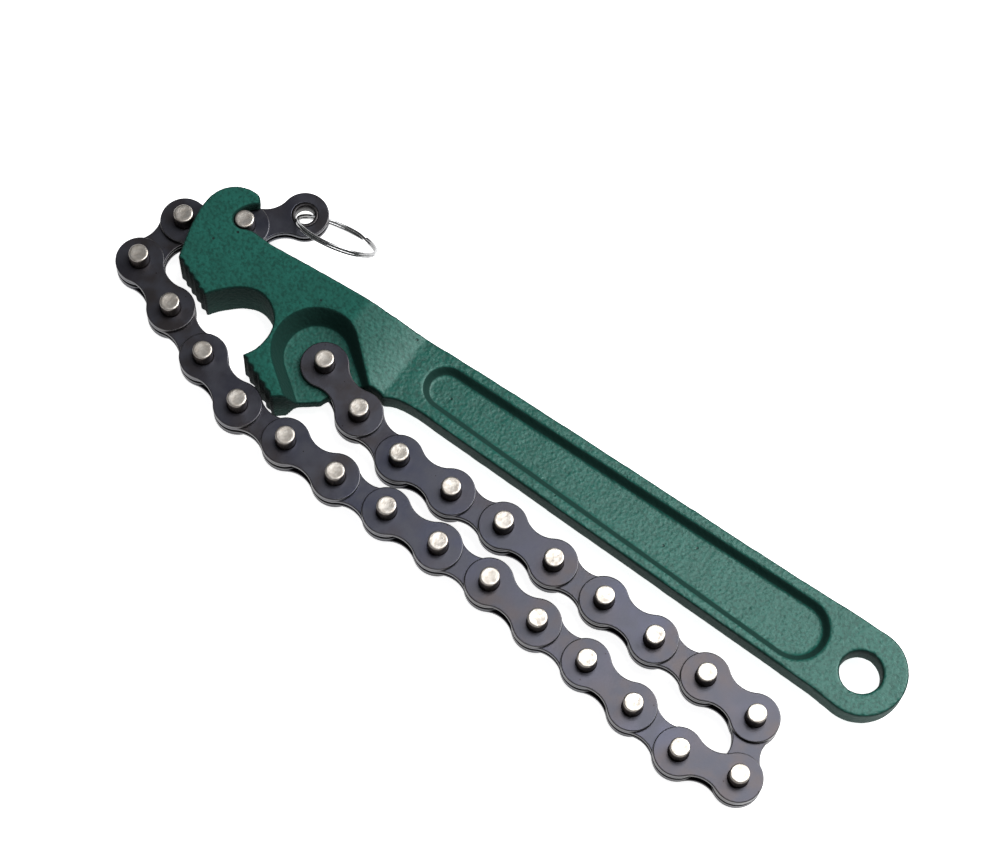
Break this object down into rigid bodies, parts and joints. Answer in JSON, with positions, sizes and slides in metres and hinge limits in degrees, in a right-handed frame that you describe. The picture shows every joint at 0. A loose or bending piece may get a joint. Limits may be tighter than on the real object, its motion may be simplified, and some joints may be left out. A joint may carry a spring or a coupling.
{
  "type": "oil filter wrench",
  "caption": "Chain-type oil filter wrench: a cast handle with a toothed forked head, a pin-link chain anchored in the head and hooked in its notch, and a wire key ring.",
  "frame": {"origin": "centre of the hanging hole, halfway through the handle's thickness", "axes": "+X from the head along the handle to the hanging end, +Y to the side the hook's beak rises on, +Z out of the face that shows"},
  "size_m": [0.2304, 0.0748, 0.0191],
  "materials": {
    "painted_casting": "dark green textured paint on a rough casting",
    "chain_plates": "heat-blackened steel with a purple-brown tint",
    "chain_pins": "bare cut steel ends",
    "chain_bushes": "dark drawn steel",
    "key_ring": "bright nickel plate"
  },
  "bodies": {
    "handle": {"handle": "painted_casting"},
    "link_01": {"link_01_plates": "chain_plates", "link_01_pins": "chain_pins"},
    "link_02": {"link_02_plates": "chain_plates", "link_02_bushes": "chain_bushes"},
    "link_03": {"link_03_plates": "chain_plates", "link_03_pins": "chain_pins"},
    "link_04": {"link_04_plates": "chain_plates", "link_04_bushes": "chain_bushes"},
    "link_05": {"link_05_plates": "chain_plates", "link_05_pins": "chain_pins"},
    "link_06": {"link_06_plates": "chain_plates", "link_06_bushes": "chain_bushes"},
    "link_07": {"link_07_plates": "chain_plates", "link_07_pins": "chain_pins"},
    "link_08": {"link_08_plates": "chain_plates", "link_08_bushes": "chain_bushes"},
    "link_09": {"link_09_plates": "chain_plates", "link_09_pins": "chain_pins"},
    "link_10": {"link_10_plates": "chain_plates", "link_10_bushes": "chain_bushes"},
    "link_11": {"link_11_plates": "chain_plates", "link_11_pins": "chain_pins"},
    "link_12": {"link_12_plates": "chain_plates", "link_12_bushes": "chain_bushes"},
    "link_13": {"link_13_plates": "chain_plates", "link_13_pins": "chain_pins"},
    "link_14": {"link_14_plates": "chain_plates", "link_14_bushes": "chain_bushes"},
    "link_15": {"link_15_plates": "chain_plates", "link_15_pins": "chain_pins"},
    "link_16": {"link_16_plates": "chain_plates", "link_16_bushes": "chain_bushes"},
    "link_17": {"link_17_plates": "chain_plates", "link_17_pins": "chain_pins"},
    "link_18": {"link_18_plates": "chain_plates", "link_18_bushes": "chain_bushes"},
    "link_19": {"link_19_plates": "chain_plates", "link_19_pins": "chain_pins"},
    "link_20": {"link_20_plates": "chain_plates", "link_20_bushes": "chain_bushes"},
    "link_21": {"link_21_plates": "chain_plates", "link_21_pins": "chain_pins"},
    "link_22": {"link_22_plates": "chain_plates", "link_22_bushes": "chain_bushes"},
    "link_23": {"link_23_plates": "chain_plates", "link_23_pins": "chain_pins"},
    "link_24": {"link_24_plates": "chain_plates", "link_24_bushes": "chain_bushes"},
    "link_25": {"link_25_plates": "chain_plates", "link_25_pins": "chain_pins"},
    "link_26": {"link_26_plates": "chain_plates", "link_26_bushes": "chain_bushes"},
    "key_ring": {"key_ring": "key_ring"}
  },
  "joints": [
    {"name": "pin_01_hinge", "type": "hinge", "parent": "handle", "child": "link_01", "pos_m": [-0.1562, -0.013, 0], "axis": [0, 0, 1], "range_deg": [-6, 1]},
    {"name": "pin_02_hinge", "type": "hinge", "parent": "link_01", "child": "link_02", "pos_m": [-0.14128, -0.01843, 0], "axis": [0, 0, 1], "range_deg": [-3, 0.5]},
    {"name": "pin_03_hinge", "type": "hinge", "parent": "link_02", "child": "link_03", "pos_m": [-0.12585, -0.02214, 0], "axis": [0, 0, 1], "range_deg": [-2, 0.5]},
    {"name": "pin_04_hinge", "type": "hinge", "parent": "link_03", "child": "link_04", "pos_m": [-0.10998, -0.02172, 0], "axis": [0, 0, 1], "range_deg": [-1.5, 0.5]},
    {"name": "pin_05_hinge", "type": "hinge", "parent": "link_04", "child": "link_05", "pos_m": [-0.09411, -0.02117, 0], "axis": [0, 0, 1], "range_deg": [-1.5, 2.5]},
    {"name": "pin_06_hinge", "type": "hinge", "parent": "link_05", "child": "link_06", "pos_m": [-0.07825, -0.02172, 0], "axis": [0, 0, 1], "range_deg": [-2.32, 1.4]},
    {"name": "pin_07_hinge", "type": "hinge", "parent": "link_06", "child": "link_07", "pos_m": [-0.06238, -0.02227, 0], "axis": [0, 0, 1], "range_deg": [-0.44, 1.29]},
    {"name": "pin_08_hinge", "type": "hinge", "parent": "link_07", "child": "link_08", "pos_m": [-0.04653, -0.02324, 0], "axis": [0, 0, 1], "range_deg": [-0.39, 1.53]},
    {"name": "pin_09_hinge", "type": "hinge", "parent": "link_08", "child": "link_09", "pos_m": [-0.03067, -0.02366, 0], "axis": [0, 0, 1], "range_deg": [-0.45, 2.65]},
    {"name": "pin_10_hinge", "type": "hinge", "parent": "link_09", "child": "link_10", "pos_m": [-0.01485, -0.02504, 0], "axis": [0, 0, 1], "range_deg": [-1.51, 8.98]},
    {"name": "pin_11_hinge", "type": "hinge", "parent": "link_10", "child": "link_11", "pos_m": [-0.00981, -0.0401, 0], "axis": [0, 0, 1], "range_deg": [-8.85, 1.49]},
    {"name": "pin_12_hinge", "type": "hinge", "parent": "link_11", "child": "link_12", "pos_m": [-0.02537, -0.04326, 0], "axis": [0, 0, 1], "range_deg": [-2.66, 0.46]},
    {"name": "pin_13_hinge", "type": "hinge", "parent": "link_12", "child": "link_13", "pos_m": [-0.04103, -0.04064, 0], "axis": [0, 0, 1], "range_deg": [-1.57, 0.4]},
    {"name": "pin_14_hinge", "type": "hinge", "parent": "link_13", "child": "link_14", "pos_m": [-0.05671, -0.03816, 0], "axis": [0, 0, 1], "range_deg": [-1.32, 0.45]},
    {"name": "pin_15_hinge", "type": "hinge", "parent": "link_14", "child": "link_15", "pos_m": [-0.07253, -0.03691, 0], "axis": [0, 0, 1], "range_deg": [-1.45, 2.41]},
    {"name": "pin_16_hinge", "type": "hinge", "parent": "link_15", "child": "link_16", "pos_m": [-0.08832, -0.03525, 0], "axis": [0, 0, 1], "range_deg": [-2.6, 1.56]},
    {"name": "pin_17_hinge", "type": "hinge", "parent": "link_16", "child": "link_17", "pos_m": [-0.1042, -0.03525, 0], "axis": [0, 0, 1], "range_deg": [-0.53, 1.55]},
    {"name": "pin_18_hinge", "type": "hinge", "parent": "link_17", "child": "link_18", "pos_m": [-0.12007, -0.03539, 0], "axis": [0, 0, 1], "range_deg": [-0.53, 2.06]},
    {"name": "pin_19_hinge", "type": "hinge", "parent": "link_18", "child": "link_19", "pos_m": [-0.13594, -0.03567, 0], "axis": [0, 0, 1], "range_deg": [-0.52, 3.03]},
    {"name": "pin_20_hinge", "type": "hinge", "parent": "link_19", "child": "link_20", "pos_m": [-0.15182, -0.03539, 0], "axis": [0, 0, 1], "range_deg": [-0.99, 5.88]},
    {"name": "pin_21_hinge", "type": "hinge", "parent": "link_20", "child": "link_21", "pos_m": [-0.16767, -0.0347, 0], "axis": [0, 0, 1], "range_deg": [-0.6, 0.53]},
    {"name": "pin_22_hinge", "type": "hinge", "parent": "link_21", "child": "link_22", "pos_m": [-0.18264, -0.0294, 0], "axis": [0, 0, 1], "range_deg": [-0.72, 0.64]},
    {"name": "pin_23_hinge", "type": "hinge", "parent": "link_22", "child": "link_23", "pos_m": [-0.19751, -0.02384, 0], "axis": [0, 0, 1], "range_deg": [-0.76, 0.67]},
    {"name": "pin_24_hinge", "type": "hinge", "parent": "link_23", "child": "link_24", "pos_m": [-0.21223, -0.01789, 0], "axis": [0, 0, 1], "range_deg": [-5.39, 6.06]},
    {"name": "pin_25_hinge", "type": "hinge", "parent": "link_24", "child": "link_25", "pos_m": [-0.20974, -0.00221, 0], "axis": [0, 0, 1], "range_deg": [-9, 8]},
    {"name": "pin_26_hinge", "type": "hinge", "parent": "link_25", "child": "link_26", "pos_m": [-0.19614, 0.00596, 0], "axis": [0, 0, 1], "range_deg": [-5, 34]},
    {"name": "key_ring_swivel", "type": "hinge", "parent": "link_26", "child": "key_ring", "pos_m": [-0.18583, 0.01803, 0], "axis": [0, 0, 1], "range_deg": [-5, 75]}
  ],
  "couplings": [
    {"joint": "pin_06_hinge", "follows": "pin_05_hinge", "ratio": -0.9237},
    {"joint": "pin_07_hinge", "follows": "pin_04_hinge", "ratio": -0.8483},
    {"joint": "pin_08_hinge", "follows": "pin_03_hinge", "ratio": -0.7558},
    {"joint": "pin_09_hinge", "follows": "pin_02_hinge", "ratio": -0.877},
    {"joint": "pin_10_hinge", "follows": "pin_01_hinge", "ratio": -1.4943},
    {"joint": "pin_11_hinge", "follows": "pin_01_hinge", "ratio": 1.4722},
    {"joint": "pin_12_hinge", "follows": "pin_02_hinge", "ratio": 0.8833},
    {"joint": "pin_13_hinge", "follows": "pin_03_hinge", "ratio": 0.7762},
    {"joint": "pin_14_hinge", "follows": "pin_04_hinge", "ratio": 0.8687},
    {"joint": "pin_15_hinge", "follows": "pin_05_hinge", "ratio": 0.9562},
    {"joint": "pin_16_hinge", "follows": "pin_05_hinge", "ratio": -1.0325},
    {"joint": "pin_17_hinge", "follows": "pin_04_hinge", "ratio": -1.0204},
    {"joint": "pin_18_hinge", "follows": "pin_03_hinge", "ratio": -1.0204},
    {"joint": "pin_19_hinge", "follows": "pin_02_hinge", "ratio": -1.0063},
    {"joint": "pin_20_hinge", "follows": "pin_01_hinge", "ratio": -0.9779},
    {"joint": "pin_21_hinge", "follows": "pin_25_hinge", "ratio": 0.065},
    {"joint": "pin_22_hinge", "follows": "pin_25_hinge", "ratio": 0.078},
    {"joint": "pin_23_hinge", "follows": "pin_25_hinge", "ratio": 0.0824},
    {"joint": "pin_24_hinge", "follows": "pin_25_hinge", "ratio": -0.6722}
  ]
}
